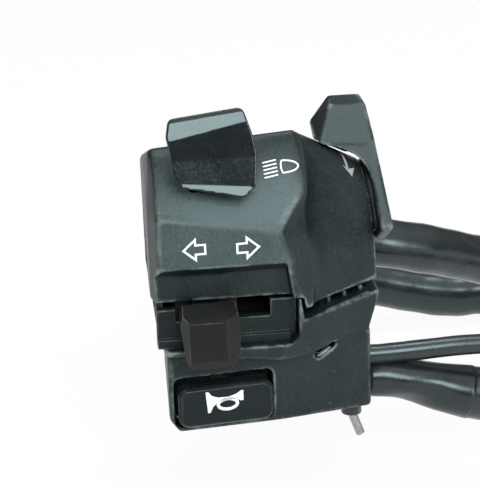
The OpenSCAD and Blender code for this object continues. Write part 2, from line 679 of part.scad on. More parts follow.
// Point at s along the wing's face and depth d behind it
function wing_at(s, d) = [cos(wing_a), sin(wing_a)] * s + [-sin(wing_a), cos(wing_a)] * (wing_d - d);
module wing_ball(x, s, d, r) {
  q = wing_at(s, d);
  translate([x, q[0], q[1]]) sphere(r, $fn = 12);
}
module choke_lever() {
  r = 0.9;
  color([0.12, 0.13, 0.14]) difference() {
    union() {
      rod_x(hub_x0, hub_x1, hub_r);
      // web from the hub out to the arm
      intersection() {
        rod_x(hub_x1 - 0.2, arm_x0 + 1, hub_r);
        along_x(hub_x1 - 0.2, arm_x0 + 1)
          polygon([wing_at(-6.6, 4), wing_at(7, 4), wing_at(7, 9.4), wing_at(-6.6, 9.4)]);
      }
      difference() {
        union() {
          // arm along the face of the wing, past the round end
          hull() {
            for (x = [arm_x0 + r, arm_x1 - r]) {
              for (d = [r, wing_t + 4]) wing_ball(x, -12.6 + d * 0.6, d, r);
              for (d = [r, wing_t]) wing_ball(x - 0.2, 15, d, r);
            }
          }
          // thumb wing: a face with a leaning top, wider towards its back
          hull() {
            wing_ball(xr - 8.2, 12, r, r);
            wing_ball(xr - 4.8, wing_crease, r, r);
            wing_ball(arm_x1 - 1.4, wing_crease, r, r);
            wing_ball(arm_x1 - r - 0.15, 11, r, r);
            for (x = [xr - 4.1, arm_x1 - 1.8]) {
              wing_ball(x, wing_reach - r, r + 2, r);
              wing_ball(x, wing_reach - 1.6, wing_t - r, r);
            }
            wing_ball(xr - 8.3, wing_crease - 0.2, wing_t - 0.4, r);
            wing_ball(xr - 8, 13, wing_t - 0.2, r);
            wing_ball(arm_x1 - r - 0.15, 12, wing_t - r, r);
          }
        }
        // room for the neck at the end of the turn, which is the nearest
        difference() {
          rod_x(xr - 30, arm_x0, far);
          rotate([-choke_turn, 0, 0]) neck_cut(wing_room);
        }
        rod_x(xr - 3, arm_x0, end_r - 0.3);
      }
    }
    rod_x(xl, far, bore_r + 0.4);
    translate([0, nip_y, nip_z]) rod_x(arm_x1 - 2, far, 2 + seat);
  }
}
module choke_washer() {
  color([0.6, 0.6, 0.58]) difference() {
    rod_x(sink_x, sink_x + washer_t, hub_r - 0.6);
    rod_x(xl, far, bore_r + 0.3);
  }
}
module choke_nipple() {
  color([0.8, 0.62, 0.3]) translate([0, nip_y, nip_z]) difference() {
    rod_x(arm_x1 - 2, arm_x1 + 0.4, 2);
    rod_x(arm_x1 - 1, far, 0.8);
  }
}

module stub_bush() {
  color([0.08, 0.08, 0.08]) translate([stub_x, stub_y, -bottom_z - 3.8]) difference() {
    cylinder(h = 3.8 + wall + 0.4, r = stub_r);
    translate([0, 0, -1]) cylinder(h = far, r = 1 + seat);
  }
}
module stub_core() {
  color([0.68, 0.68, 0.66]) translate([stub_x, stub_y, -bottom_z - 3.8]) {
    cylinder(h = 4.8, r = 1);
    translate([0, 0, 0.2]) rotate([0, 160, 0]) cylinder(h = 5.6, r = 0.96);
  }
}
module loom_clamp() {
  color([0.6, 0.6, 0.58]) difference() {
    box([xr - 11, -11, floor_z], [xr - 7, -1, floor_z + 1]);
    translate([xr - 9, -4, 0]) cylinder(h = 2 * far, r = 1.3, center = true);
  }
}
module clamp_screw() {
  color([0.7, 0.7, 0.68]) translate([xr - 9, -4, floor_z]) {
    cylinder(h = 1, r = 1.2);
    translate([0, 0, 1]) cylinder(h = 1.6, r = 2.3);
  }
}
// Soft boot: flat at the housing, round at the sleeve
module boot_mid() {
  translate([low_xr + 9, out_y + 0.6, loom_z - 1.4]) rotate([0, 98, 0]) linear_extrude(0.1)
    offset(3.6, $fn = 24) square([0.8, 2], center = true);
}
module loom_boot() {
  p = path(loom_pts, 2);
  t = along(p, 0);
  color([0.07, 0.07, 0.07]) union() {
    translate([0, out_y, loom_z]) rod_x(low_xr - wall + 0.8, low_xr + 0.2, spigot_r);
    hull() {
      translate([low_xr, out_y, loom_z]) rotate([0, 90, 0]) linear_extrude(0.1)
        offset(2.3, $fn = 24) square([0.8, 4], center = true);
      boot_mid();
    }
    hull() {
      boot_mid();
      translate(p[0]) rotate([0, 90 - asin(t[2]), atan2(t[1], t[0])]) translate([0, 0, -0.1])
        cylinder(h = 0.1, r = loom_d / 2 + 0.2, $fn = 24);
    }
  }
}
module lead_grommet() {
  color([0.07, 0.07, 0.07]) translate([0, out_y, lead_z]) union() {
    rod_x(low_xr - wall, low_xr, lead_d / 2 + 0.4);
    rod_x(low_xr - wall - 1, low_xr - wall, lead_d / 2 + 1);
  }
}
module loom() {
  color([0.06, 0.06, 0.065]) tube(path(loom_pts, 2), loom_d, 12);
}
module lead() {
  color([0.06, 0.06, 0.065]) tube(path(lead_pts, 2), lead_d, 10);
}

// Plug in the direction of the cord's last run: sleeve, shell and latch
module at_end(p) {
  m = len(p) - 1;
  t = unit(p[m] - p[m - 1]);
  translate(p[m]) rotate([0, 90 - asin(t[2]), atan2(t[1], t[0])]) rotate([0, 0, 90]) children();
}
module loom_connector() {
  color([0.82, 0.82, 0.78]) at_end(path(loom_pts, 2)) difference() {
    union() {
      translate([-9, -6.5, 0]) cube([18, 13, 21]);
      translate([-4, 6.4, 5]) cube([8, 2, 12]);
    }
    translate([-7.6, -5.1, 12]) cube([15.2, 10.2, 10]);
  }
}
module loom_terminals() {
  color([0.8, 0.62, 0.3]) at_end(path(loom_pts, 2)) for (i = [-1 : 1]) for (j = [-1, 1])
    translate([i * 4.6 - 0.5, j * 2.5 - 0.5, 12]) cube([1, 1, 4]);
}
module lead_connector() {
  color([0.82, 0.82, 0.78]) at_end(path(lead_pts, 2)) difference() {
    union() {
      translate([-4.5, -3.6, 0]) cube([9, 7.2, 12]);
      translate([-2, 3.5, 2.4]) cube([4, 1.4, 7]);
    }
    for (s = [-1, 1]) translate([s * 2.1 - 1.2, -1.2, 6]) cube([2.4, 2.4, 8]);
  }
}
// Tie round the loom, at the middle of its outer bend
module cable_tie() {
  p = path(loom_pts, 2);
  i = 12;
  t = along(p, i);
  color([0.1, 0.1, 0.1]) translate(p[i]) rotate([0, 90 - asin(t[2]), atan2(t[1], t[0])]) union() {
    difference() {
      cylinder(h = 3.6, r = loom_d / 2 + 1.3, center = true);
      cylinder(h = 9, r = loom_d / 2 + 0.12, center = true);
    }
    translate([loom_d / 2 + 0.6, -2.5, -2.2]) cube([3.4, 5, 4.4]);
  }
}

echo(loom_length = path_len(path(loom_pts, 4)), lead_length = path_len(path(lead_pts, 4)));

upper_housing();
lower_housing();
housing_screws();
slot_plate();
turn_board();
turn_studs();
turn_carriage();
turn_wiper();
detent_ball();
detent_spring();
turn_knob();
knob_spring();
horn_button();
horn_spring();
horn_bridge();
horn_board();
horn_blades();
dimmer_lever();
dimmer_pin();
dimmer_wiper();
dimmer_board();
dimmer_studs();
choke_lever();
choke_washer();
choke_nipple();
stub_bush();
stub_core();
loom_clamp();
clamp_screw();
loom_boot();
lead_grommet();
loom();
lead();
loom_connector();
loom_terminals();
lead_connector();
cable_tie();
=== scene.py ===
import math

import bmesh
import bpy
import numpy as np
from mathutils import Matrix, Vector
from mathutils.bvhtree import BVHTree


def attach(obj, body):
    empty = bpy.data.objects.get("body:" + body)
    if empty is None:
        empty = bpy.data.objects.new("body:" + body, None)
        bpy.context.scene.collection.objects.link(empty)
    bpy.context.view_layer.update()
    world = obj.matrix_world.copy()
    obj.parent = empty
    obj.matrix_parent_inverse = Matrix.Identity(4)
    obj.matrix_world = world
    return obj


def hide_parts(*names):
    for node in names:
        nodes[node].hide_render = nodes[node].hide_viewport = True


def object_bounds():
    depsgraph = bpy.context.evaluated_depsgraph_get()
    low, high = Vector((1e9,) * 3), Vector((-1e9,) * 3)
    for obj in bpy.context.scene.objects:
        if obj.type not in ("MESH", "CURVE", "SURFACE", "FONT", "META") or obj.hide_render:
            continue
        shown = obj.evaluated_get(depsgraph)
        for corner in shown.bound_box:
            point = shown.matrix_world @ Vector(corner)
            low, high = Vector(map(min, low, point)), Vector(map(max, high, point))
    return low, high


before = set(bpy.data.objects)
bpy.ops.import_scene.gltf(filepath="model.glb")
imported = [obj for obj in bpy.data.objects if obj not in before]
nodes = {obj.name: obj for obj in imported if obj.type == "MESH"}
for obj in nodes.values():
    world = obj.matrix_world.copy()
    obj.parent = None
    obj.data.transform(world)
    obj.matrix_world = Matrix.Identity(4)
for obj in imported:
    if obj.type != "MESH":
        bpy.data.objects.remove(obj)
cad_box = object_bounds()
scene = bpy.context.scene
MM = 0.001


def mm(*values):
    """A point or vector given in millimetres."""
    return Vector(values) * MM


def angles(start, stop, step):
    """Angles in radians, from whole degrees as range counts them."""
    return [math.radians(degrees) for degrees in range(start, stop, step)]


# Camera: a long lens, a little left of the rider's eye line
VIEW_TURN = math.radians(-6)
VIEW_RISE = math.radians(20)
VIEW_ROLL = math.radians(2)
VIEW_DISTANCE = 520 * MM
VIEW_LENS = 177.6
AIM_RIGHT = -2.597 * MM
AIM_UP = 1.84 * MM


def make_camera():
    level = Vector((math.cos(VIEW_TURN), math.sin(VIEW_TURN), 0))
    back = Vector((math.sin(VIEW_TURN) * math.cos(VIEW_RISE),
                   -math.cos(VIEW_TURN) * math.cos(VIEW_RISE), math.sin(VIEW_RISE)))
    upright = back.cross(level)
    right = level * math.cos(VIEW_ROLL) - upright * math.sin(VIEW_ROLL)
    up = level * math.sin(VIEW_ROLL) + upright * math.cos(VIEW_ROLL)
    data = bpy.data.cameras.new("camera")
    data.lens = VIEW_LENS
    camera = bpy.data.objects.new("camera", data)
    place = Matrix((right, up, back)).transposed().to_4x4()
    place.translation = right * AIM_RIGHT + up * AIM_UP + back * VIEW_DISTANCE
    camera.matrix_world = place
    scene.collection.objects.link(camera)
    scene.camera = camera


make_camera()


# Shader groups: values that change over the surface
def new_group(name, inputs, outputs):
    group = bpy.data.node_groups.new(name, "ShaderNodeTree")
    for label, value in inputs.items():
        socket = group.interface.new_socket(label, in_out="INPUT", socket_type="NodeSocketFloat")
        socket.default_value = value
    for label in outputs:
        group.interface.new_socket(label, in_out="OUTPUT", socket_type="NodeSocketFloat")
    return group, group.nodes.new("NodeGroupInput"), group.nodes.new("NodeGroupOutput")


def add(tree, kind, links=None, **settings):
    """A node of that kind; links maps its input names or numbers to sockets or to values."""
    node = tree.nodes.new("ShaderNode" + kind)
    for label, value in settings.items():
        setattr(node, label, value)
    for label, value in (links or {}).items():
        if isinstance(value, bpy.types.NodeSocket):
            tree.links.new(value, node.inputs[label])
        else:
            node.inputs[label].default_value = value
    return node


def noise(tree, place, scale, detail=3.0, roughness=0.55):
    links = {"Vector": place, "Scale": scale, "Detail": detail, "Roughness": roughness}
    return add(tree, "TexNoise", links).outputs["Fac"]


def spread(tree, value, low, high):
    """Stretches a value so that low becomes 0 and high becomes 1, clamped."""
    links = {"Value": value, "From Min": low, "From Max": high}
    return add(tree, "MapRange", links, clamp=True).outputs["Result"]


def times(tree, a, b):
    return add(tree, "Math", {0: a, 1: b}, operation="MULTIPLY").outputs[0]


def plus(tree, a, b):
    return add(tree, "Math", {0: a, 1: b}, operation="ADD").outputs[0]


def make_grain_group():
    """Fine moulded grain as a height, and slow mottling as a shade from 0 to 1."""
    group, given, result = new_group("moulded_grain", {"Grain": 1800.0, "Mottle": 90.0}, ["Height", "Shade"])
    place = add(group, "TexCoord").outputs["Object"]
    fine = noise(group, place, given.outputs["Grain"], 2.0, 0.6)
    slow = noise(group, place, given.outputs["Mottle"], 5.0, 0.6)
    group.links.new(fine, result.inputs["Height"])
    group.links.new(spread(group, slow, 0.35, 0.65), result.inputs["Shade"])
    return group


EDGE_MARK = "edge"
PAINTED_LIGHT_MARK = "painted_light"


def make_rub_and_highlight_group():
    """Mask of the convex edges that a piece marks, broken up by noise: rubbed wear, and on the knob painted
    highlight.
    """
    group, given, result = new_group("edge_rub_and_highlight", {"Start": 0.3, "End": 0.8, "Patches": 260.0}, ["Mask"])
    place = add(group, "TexCoord").outputs["Object"]
    edge_mark = add(group, "Attribute", attribute_name=EDGE_MARK).outputs["Fac"]
    links = {"Value": edge_mark, "From Min": given.outputs["Start"], "From Max": given.outputs["End"]}
    edge = add(group, "MapRange", links, clamp=True).outputs["Result"]
    patches = spread(group, noise(group, place, given.outputs["Patches"], 5.0, 0.7), 0.42, 0.66)
    group.links.new(times(group, edge, patches), result.inputs["Mask"])
    return group


def make_dust_group():
    """Mask of dust: a film on upward faces and small specks."""
    group, given, result = new_group("dust", {"Film": 0.3, "Specks": 0.4, "Speck size": 700.0}, ["Mask"])
    place = add(group, "TexCoord").outputs["Object"]
    normal = add(group, "NewGeometry").outputs["Normal"]
    rise = add(group, "SeparateXYZ", {0: normal}).outputs["Z"]
    cloud = spread(group, noise(group, place, 140.0, 5.0, 0.65), 0.4, 0.72)
    film = times(group, times(group, spread(group, rise, 0.0, 0.9), cloud), given.outputs["Film"])
    links = {"Vector": place, "Scale": given.outputs["Speck size"]}
    cell = add(group, "TexVoronoi", links).outputs["Distance"]
    dots = spread(group, cell, 0.16, 0.08)
    where = spread(group, noise(group, place, 330.0, 3.0, 0.6), 0.56, 0.66)
    specks = times(group, times(group, dots, where), given.outputs["Specks"])
    group.links.new(plus(group, film, specks), result.inputs["Mask"])
    return group


GRAIN = make_grain_group()
RUB_AND_HIGHLIGHT = make_rub_and_highlight_group()
DUST = make_dust_group()


def place_group(tree, group, **values):
    node = tree.nodes.new("ShaderNodeGroup")
    node.node_tree = group
    for label, value in values.items():
        node.inputs[label.replace("_", " ")].default_value = value
    return node


def blend(tree, factor, a, b):
    """Colour a, going to colour b where the factor is 1."""
    node = add(tree, "Mix", {"Factor": factor}, data_type="RGBA")
    for socket, value in ((node.inputs["A"], a), (node.inputs["B"], b)):
        if isinstance(value, bpy.types.NodeSocket):
            tree.links.new(value, socket)
        else:
            socket.default_value = (*value, 1)
    return node.outputs["Result"]


def new_material(name):
    material = bpy.data.materials.new(name)
    material.use_nodes = True
    return material, material.node_tree, material.node_tree.nodes["Principled BSDF"]


def plastic(name, dark, light, rough, specular, rub_and_highlight_range, rub_and_highlight_colour, grain=1800.0, depth=0.00002,
            film=0.08, specks=0.3, painted_light=None, tint=(1, 1, 1)):
    """Moulded plastic: mottled colour, painted light on the faces a piece marks, lighter edges that are rubbed
    wear and painted highlight, a dust film and fine grain.
    """
    material, tree, shader = new_material(name)
    texture = place_group(tree, GRAIN, Grain=grain, Mottle=90.0)
    edges = place_group(tree, RUB_AND_HIGHLIGHT, Start=rub_and_highlight_range[0], End=rub_and_highlight_range[1], Patches=170.0)
    dust = place_group(tree, DUST, Film=film, Specks=specks, Speck_size=650.0)
    fine = spread(tree, texture.outputs["Height"], 0.3, 0.7)
    shade = plus(tree, times(tree, texture.outputs["Shade"], 0.4), times(tree, fine, 0.6))
    colour = blend(tree, shade, dark, light)
    if painted_light:
        # Painted light: a lighter colour on the faces that the piece marks, where the lamps fall on them
        painted_light_share = add(tree, "Attribute", attribute_name=PAINTED_LIGHT_MARK).outputs["Fac"]
        patchy_painted_light = times(tree, painted_light_share, spread(tree, shade, -0.6, 0.9))
        colour = blend(tree, patchy_painted_light, colour, painted_light)
    colour = blend(tree, edges.outputs["Mask"], colour, rub_and_highlight_colour)
    colour = blend(tree, dust.outputs["Mask"], colour, (0.14, 0.155, 0.155))
    tree.links.new(colour, shader.inputs["Base Color"])
    wear = plus(tree, shade, dust.outputs["Mask"])
    links = {"Value": wear, "To Min": rough - 0.05, "To Max": rough + 0.08}
    tree.links.new(add(tree, "MapRange", links).outputs["Result"], shader.inputs["Roughness"])
    bump = add(tree, "Bump", {"Strength": 0.5, "Distance": depth, "Height": texture.outputs["Height"]})
    tree.links.new(bump.outputs["Normal"], shader.inputs["Normal"])
    shader.inputs["Specular IOR Level"].default_value = specular
    shader.inputs["Specular Tint"].default_value = (*tint, 1)
    return material


BRUSHED = 1400.0
BRUSH_DEPTH = 0.012 * MM


def metal(name, dark, light, rough):
    """Plated metal with a mottled tone and fine working marks."""
    material, tree, shader = new_material(name)
    texture = place_group(tree, GRAIN, Grain=BRUSHED, Mottle=420.0)
    dust = place_group(tree, DUST, Film=0.12, Specks=0.3, Speck_size=900.0)
    colour = blend(tree, texture.outputs["Shade"], dark, light)
    colour = blend(tree, dust.outputs["Mask"], colour, (0.12, 0.11, 0.09))
    tree.links.new(colour, shader.inputs["Base Color"])
    links = {"Value": texture.outputs["Shade"], "To Min": rough - 0.07, "To Max": rough + 0.1}
    tree.links.new(add(tree, "MapRange", links).outputs["Result"], shader.inputs["Roughness"])
    bump = add(tree, "Bump", {"Strength": 0.4, "Distance": BRUSH_DEPTH, "Height": texture.outputs["Height"]})
    tree.links.new(bump.outputs["Normal"], shader.inputs["Normal"])
    shader.inputs["Metallic"].default_value = 1.0
    return material


def add_ribs(material, pitch, depth):
    """Deepens the fine upright ribs on the faces that look forward, and darkens their grooves with painted
    shade.
    """
    tree = material.node_tree
    shader = tree.nodes["Principled BSDF"]
    place = add(tree, "TexCoord").outputs["Object"]
    links = {"Vector": place, "Scale": math.tau / (20 * pitch)}
    wave = add(tree, "TexWave", links, bands_direction="X").outputs["Fac"]
    facing = add(tree, "SeparateXYZ", {0: add(tree, "NewGeometry").outputs["Normal"]}).outputs["Y"]
    ribs = times(tree, wave, spread(tree, facing, -0.8, -0.92))
    plain = shader.inputs["Base Color"].links[0].from_socket
    # Painted shade: the grooves between the ribs are darkened in the colour
    shaded = blend(tree, times(tree, ribs, 0.75), plain, (0.002, 0.002, 0.002))
    tree.links.new(shaded, shader.inputs["Base Color"])
    grained = shader.inputs["Normal"].links[0].from_socket
    links = {"Strength": 0.8, "Distance": depth, "Height": ribs, "Normal": grained}
    tree.links.new(add(tree, "Bump", links, invert=True).outputs["Normal"], shader.inputs["Normal"])


# An edge mark ends at 1, so this range leaves the edges plain, with no rub and no painted highlight
NEVER = (2.0, 3.0)
COOL = (0.8, 0.98, 1.0)
MATERIALS = {
    "housing": plastic("matte charcoal plastic", (0.0025, 0.004, 0.0042), (0.0155, 0.022, 0.0225), 0.4, 0.34,
                       (0.25, 0.85), (0.19, 0.23, 0.232), depth=0.00008, film=0.04, specks=0.35,
                       painted_light=(0.06, 0.08, 0.0825), tint=COOL),
    "paddle": plastic("glossy black paddle", (0.006, 0.0075, 0.0078), (0.009, 0.011, 0.0115), 0.13, 0.5,
                      (0.4, 0.9), (0.05, 0.055, 0.055), depth=0.000002, film=0.05, specks=0.15, tint=COOL),
    "button": plastic("satin black button", (0.007, 0.009, 0.0095), (0.011, 0.014, 0.0145), 0.24, 0.2,
                      (0.3, 0.9), (0.06, 0.07, 0.07), film=0.05, specks=0.3, tint=COOL),
    "guide": plastic("black slot guide", (0.005, 0.007, 0.007), (0.012, 0.0155, 0.0155), 0.42, 0.26,
                     (0.25, 0.9), (0.12, 0.135, 0.13), film=0.06, specks=0.4, tint=COOL),
    # The knob's lighter edge colour is partly painted highlight along its top front edge and partly rubbed wear
    "knob": plastic("brown black knob", (0.0065, 0.0072, 0.0064), (0.014, 0.0152, 0.0135), 0.42, 0.2,
                    (0.15, 0.6), (0.16, 0.175, 0.16), film=0.04, specks=0.6),
    "slider": plastic("black slider plastic", (0.004, 0.004, 0.004), (0.007, 0.007, 0.007), 0.45, 0.3,
                      NEVER, (0.05, 0.05, 0.05), film=0.1),
    "sleeve": plastic("shiny black sleeve", (0.009, 0.011, 0.0113), (0.016, 0.019, 0.0195), 0.25, 0.65,
                      NEVER, (0.05, 0.05, 0.05), grain=300.0, depth=0.00009, film=0.03, specks=0.2, tint=COOL),
    "soft": plastic("black rubber", (0.006, 0.0072, 0.0073), (0.013, 0.0148, 0.015), 0.24, 0.6,
                    NEVER, (0.05, 0.05, 0.05), grain=500.0, depth=0.00006, film=0.05, specks=0.7, tint=COOL),
    "plug": plastic("natural plug nylon", (0.58, 0.56, 0.5), (0.68, 0.66, 0.6), 0.38, 0.45,
                    NEVER, (0.75, 0.74, 0.7), film=0.12),
    "tie": plastic("black nylon tie", (0.012, 0.013, 0.013), (0.022, 0.023, 0.023), 0.35, 0.45,
                   (0.4, 0.9), (0.07, 0.07, 0.07)),
    "board": plastic("dark contact board", (0.006, 0.004, 0.003), (0.01, 0.007, 0.005), 0.5, 0.3,
                     NEVER, (0.2, 0.12, 0.06), grain=900.0),
    "steel": metal("plated steel", (0.3, 0.3, 0.29), (0.46, 0.46, 0.44), 0.36),
    "contact": metal("contact brass", (0.5, 0.34, 0.13), (0.66, 0.46, 0.2), 0.3),
}
add_ribs(MATERIALS["knob"], 0.43 * MM, 0.1 * MM)
SIGN_WHITE = plastic("sign white", (0.72, 0.75, 0.75), (0.86, 0.88, 0.88), 0.55, 0.3,
                     NEVER, (0.9, 0.9, 0.9), film=0.0, specks=0.25)
PALE_PATCH = plastic("pale patch", (0.05, 0.055, 0.05), (0.42, 0.44, 0.4), 0.6, 0.3,
                    NEVER, (0.4, 0.4, 0.4), grain=2600.0, depth=0.0001, specks=0.6)
SIGN_GREY = plastic("sign worn grey", (0.2, 0.22, 0.21), (0.32, 0.34, 0.33), 0.6, 0.3,
                    NEVER, (0.4, 0.4, 0.4), film=0.0, specks=0.3)


# Pieces
def finish_piece(piece, material_slot, body, replaced=(), material=None):
    piece.data.materials.clear()
    piece.data.materials.append(material or MATERIALS[material_slot])
    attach(piece, body)
    if replaced:
        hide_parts(*replaced)
    return piece


def new_piece(name, bm):
    bmesh.ops.recalc_face_normals(bm, faces=bm.faces)
    mesh = bpy.data.meshes.new(name)
    bm.to_mesh(mesh)
    bm.free()
    mesh.shade_smooth()
    piece = bpy.data.objects.new(name, mesh)
    scene.collection.objects.link(piece)
    return piece


def merged_copy(node, name):
    """A copy of a CAD node's mesh with its loose triangles merged."""
    bm = bmesh.new()
    bm.from_mesh(nodes[node].data)
    bmesh.ops.remove_doubles(bm, verts=bm.verts, dist=0.001 * MM)
    bmesh.ops.dissolve_limit(bm, angle_limit=math.radians(0.5), verts=bm.verts, edges=bm.edges)
    return new_piece(name, bm)


def settle(piece):
    """Turns the piece's modifiers into its mesh."""
    graph = bpy.context.evaluated_depsgraph_get()
    mesh = bpy.data.meshes.new_from_object(piece.evaluated_get(graph))
    old = piece.data
    piece.modifiers.clear()
    piece.data = mesh
    bpy.data.meshes.remove(old)
    mesh.name = piece.name
    return piece


def add_skin(piece, cell):
    """An even skin of that cell size in place of the piece's faces."""
    skin = piece.modifiers.new("skin", "REMESH")
    skin.mode = "VOXEL"
    skin.voxel_size = cell
    skin.use_smooth_shade = True


def add_soften(piece, passes):
    soften = piece.modifiers.new("soften", "SMOOTH")
    soften.factor = 0.5
    soften.iterations = passes
    return soften


def add_thin(piece, keep):
    """Leaves that share of the piece's triangles."""
    piece.modifiers.new("thin", "DECIMATE").ratio = keep


def moulded(node, name, cell, passes, keep):
    """The node's shape with soft moulded edges: a fine skin, smoothed and thinned."""
    piece = merged_copy(node, name)
    add_skin(piece, cell)
    add_soften(piece, passes)
    add_thin(piece, keep)
    return settle(piece)


def mark_edges(piece, reach, full, worn=(1000, 900)):
    """Marks convex edges from 0 to 1: how far a point stands out of its smoothed surroundings.

    The mark fades between the two heights of worn, in millimetres.
    """
    mesh = piece.data
    count = len(mesh.vertices)
    places = np.empty(count * 3)
    normals = np.empty(count * 3)
    ends = np.empty(len(mesh.edges) * 2, dtype=np.int64)
    mesh.vertices.foreach_get("co", places)
    mesh.vertices.foreach_get("normal", normals)
    mesh.edges.foreach_get("vertices", ends)
    places, normals, ends = places.reshape(-1, 3), normals.reshape(-1, 3), ends.reshape(-1, 2)
    valence = np.maximum(np.bincount(ends.ravel(), minlength=count), 1)[:, None]
    smooth = places.copy()
    for _ in range(reach):
        total = np.stack([np.bincount(ends[:, 0], smooth[ends[:, 1], k], count)
                          + np.bincount(ends[:, 1], smooth[ends[:, 0], k], count) for k in range(3)], axis=1)
        smooth = total / valence
    mark = np.clip(((places - smooth) * normals).sum(axis=1) / full, 0, 1)
    mark *= np.clip((worn[0] - places[:, 2] / MM) / (worn[0] - worn[1]), 0, 1)
    mesh.attributes.new(EDGE_MARK, "FLOAT", "POINT").data.foreach_set("value", mark)
    return piece


def mark_painted_light(piece, share):
    """Marks where a lighter colour is painted in as painted light: share gives 0 to 1 for a point in millimetres
    and its normal.
    """
    marks = [share(*(vert.co / MM), vert.normal) for vert in piece.data.vertices]
    piece.data.attributes.new(PAINTED_LIGHT_MARK, "FLOAT", "POINT").data.foreach_set("value", marks)
    return piece


def ramp(value, low, high):
    """0 at low, 1 at high, straight between them."""
    return min(max((value - low) / (high - low), 0), 1)


# Crease between the front faces and the flank: its place along X at some heights
FLANK_CREASE = ((-1, 8.2), (14.6, 2.6), (23, 6.9), (33, 7.0))


def past_crease(x, z):
    """How far a point lies to the right of the crease, in millimetres."""
    for (z0, x0), (z1, x1) in zip(FLANK_CREASE, FLANK_CREASE[1:]):
        if z <= z1:
            return x - x0 - (x1 - x0) * (z - z0) / (z1 - z0)
    return x - FLANK_CREASE[-1][1]


def smooth_where(piece, group_name, passes, weight):
    """Smooths the piece as far as the weight of each point, in millimetres, says."""
    group = piece.vertex_groups.new(name=group_name)
    for vert in piece.data.vertices:
        share = weight(*(vert.co / MM))
        if share > 0:
            group.add([vert.index], share, "REPLACE")
    add_soften(piece, passes).vertex_group = group.name
    return settle(piece)


# Sloped face of the upper half, in millimetres
HOUSING_LEFT = -24
SLOPE_FRONT = -30
SLOPE_BACK = -18
SLOPE_RISE = 0.9
SLOPE_REACH = 2.2
CREASE_SWELL = 1.6


def flank_weight(x, y, z):
    """The flank where it runs into the neck, without the crease of the front faces."""
    start = 0.6 - 2.2 * ramp(z, 20, 25) * ramp(z, 31, 29)
    return ramp(past_crease(x, z), start, start + 1.8) * ramp(x, 15.5, 12.5) * ramp(z, 0.6, 3)


def slope_weight(x, y, z):
    """The sloped face where it runs into the crease and into the left edge."""
    beside = past_crease(x - CREASE_SWELL, z)
    weight = max(ramp(beside, -6, -4) * ramp(beside, 2.5, 0.5) * ramp(z, 17, 22), ramp(x, -18, -20))
    return weight * ramp(y, -12, -16) * ramp(z, 15, 18) * ramp(z, 31, 29.6)


def crown_slope(piece):
    """Lays the sloped face on one bowed surface, from the crease over the arrows to the top edge."""
    for vert in piece.data.vertices:
        x, y, z = vert.co / MM
        foot = Vector((SLOPE_FRONT, 18.9 - 4.3 * ramp(x, HOUSING_LEFT, 3.3)))
        up = Vector((SLOPE_BACK, 30.4 + 2 * ramp(x, HOUSING_LEFT, 7))) - foot
        out = Vector((-up.y, up.x)).normalized()
        from_foot = Vector((y, z)) - foot
        share = from_foot.dot(up) / up.length_squared
        offset = from_foot.dot(out)
        outward = vert.normal.y * out.x + vert.normal.z * out.y
        if 0 < share < 1 and abs(offset) < SLOPE_REACH:
            fade = ramp(share, 0, 0.1) * ramp(share, 1, 0.9) * ramp(outward, 0.5, 0.8)
            fade *= ramp(abs(offset), SLOPE_REACH, 1.4)
            fade *= ramp(past_crease(x, z), 0.9, -0.6) * ramp(x, HOUSING_LEFT + 0.2, HOUSING_LEFT + 2)
            lift = (SLOPE_RISE * math.sin(math.pi * share) - offset) * fade
            vert.co += Vector((0, out.x, out.y)) * lift * MM
    return piece


def swell_crease(piece):
    """Moves the upper part of the crease to the right, where it bows out."""
    for vert in piece.data.vertices:
        x, y, z = vert.co / MM
        height = ramp(z, 14.6, 21.5) * ramp(z, 32.5, 28.5)
        beside = ramp(past_crease(x, z), -4, 0) * ramp(past_crease(x, z), 7, 1)
        if y < -8 and height * beside > 0:
            ease = height * height * (3 - 2 * height)
            vert.co.x += CREASE_SWELL * ease * beside * MM
    return piece


def front_painted_light(x, y, z, normal):
    """Painted light on the arrow face and the sloped face, left of the crease."""
    beside = past_crease(x - CREASE_SWELL * ramp(z, 15, 21), z)
    facing = -normal.y + 0.6 * normal.z
    return ramp(beside, 0.7, -0.7) * ramp(facing, 0.5, 0.9) * ramp(z, 31, 24) * ramp(z, 7, 8)


def wing_painted_light(x, y, z, normal):
    """Painted light on the face of the choke wing, which looks up and forward."""
    return 0.2 * ramp(normal.z - normal.y, 0.9, 1.25)


def sink_ribs(piece, depth):
    """Sets the ribs that cross the open joint back into its shadow."""
    for vert in piece.data.vertices:
        x, y, z = vert.co / MM
        edge = -4.9 + 0.116 * (x - 7.6)
        if 12 < x < 22 and y < -19.6 and z > edge:
            vert.co.y += depth * ramp(z - edge, 0, 0.6) * MM
    return piece


# Front of the paddle in millimetres: how far back it lies at some heights in the part's source
PADDLE_LEAN = math.radians(16)
PADDLE_FOOT = (-31, 23.23)
PADDLE_DEEP = 2.7
PADDLE_BOTTOM = -0.3
PADDLE_WAIST = (8.19, 0.45)
PADDLE_TOP = 18.2
PADDLE_FRONT = ((PADDLE_BOTTOM, 0.6), (1, 0), (3.64, 0.3), PADDLE_WAIST, (13.83, 0.3), (16.4, 0.6),
                (PADDLE_TOP, 1.3))


def paddle_front(x):
    """The paddle's front at a place along X, with its bends aslant as the upper and lower edges are."""
    waist, waist_lie = PADDLE_WAIST
    lip, bend, crest = 3.4 - 0.1 * (x + 17), 14.9 + 0.2 * (x + 5), 17.1 + 0.106 * (x + 5)
    lip_lie = waist_lie - 0.033 * (waist - lip)
    bend_lie = 0.3
    crest_lie = bend_lie + 0.115 * (crest - bend)
    return ((PADDLE_BOTTOM, lip_lie - 0.2 * (lip - PADDLE_BOTTOM)), (lip, lip_lie), PADDLE_WAIST,
            (bend, bend_lie), (crest, crest_lie), (PADDLE_TOP, crest_lie + 0.39 * (PADDLE_TOP - crest)))


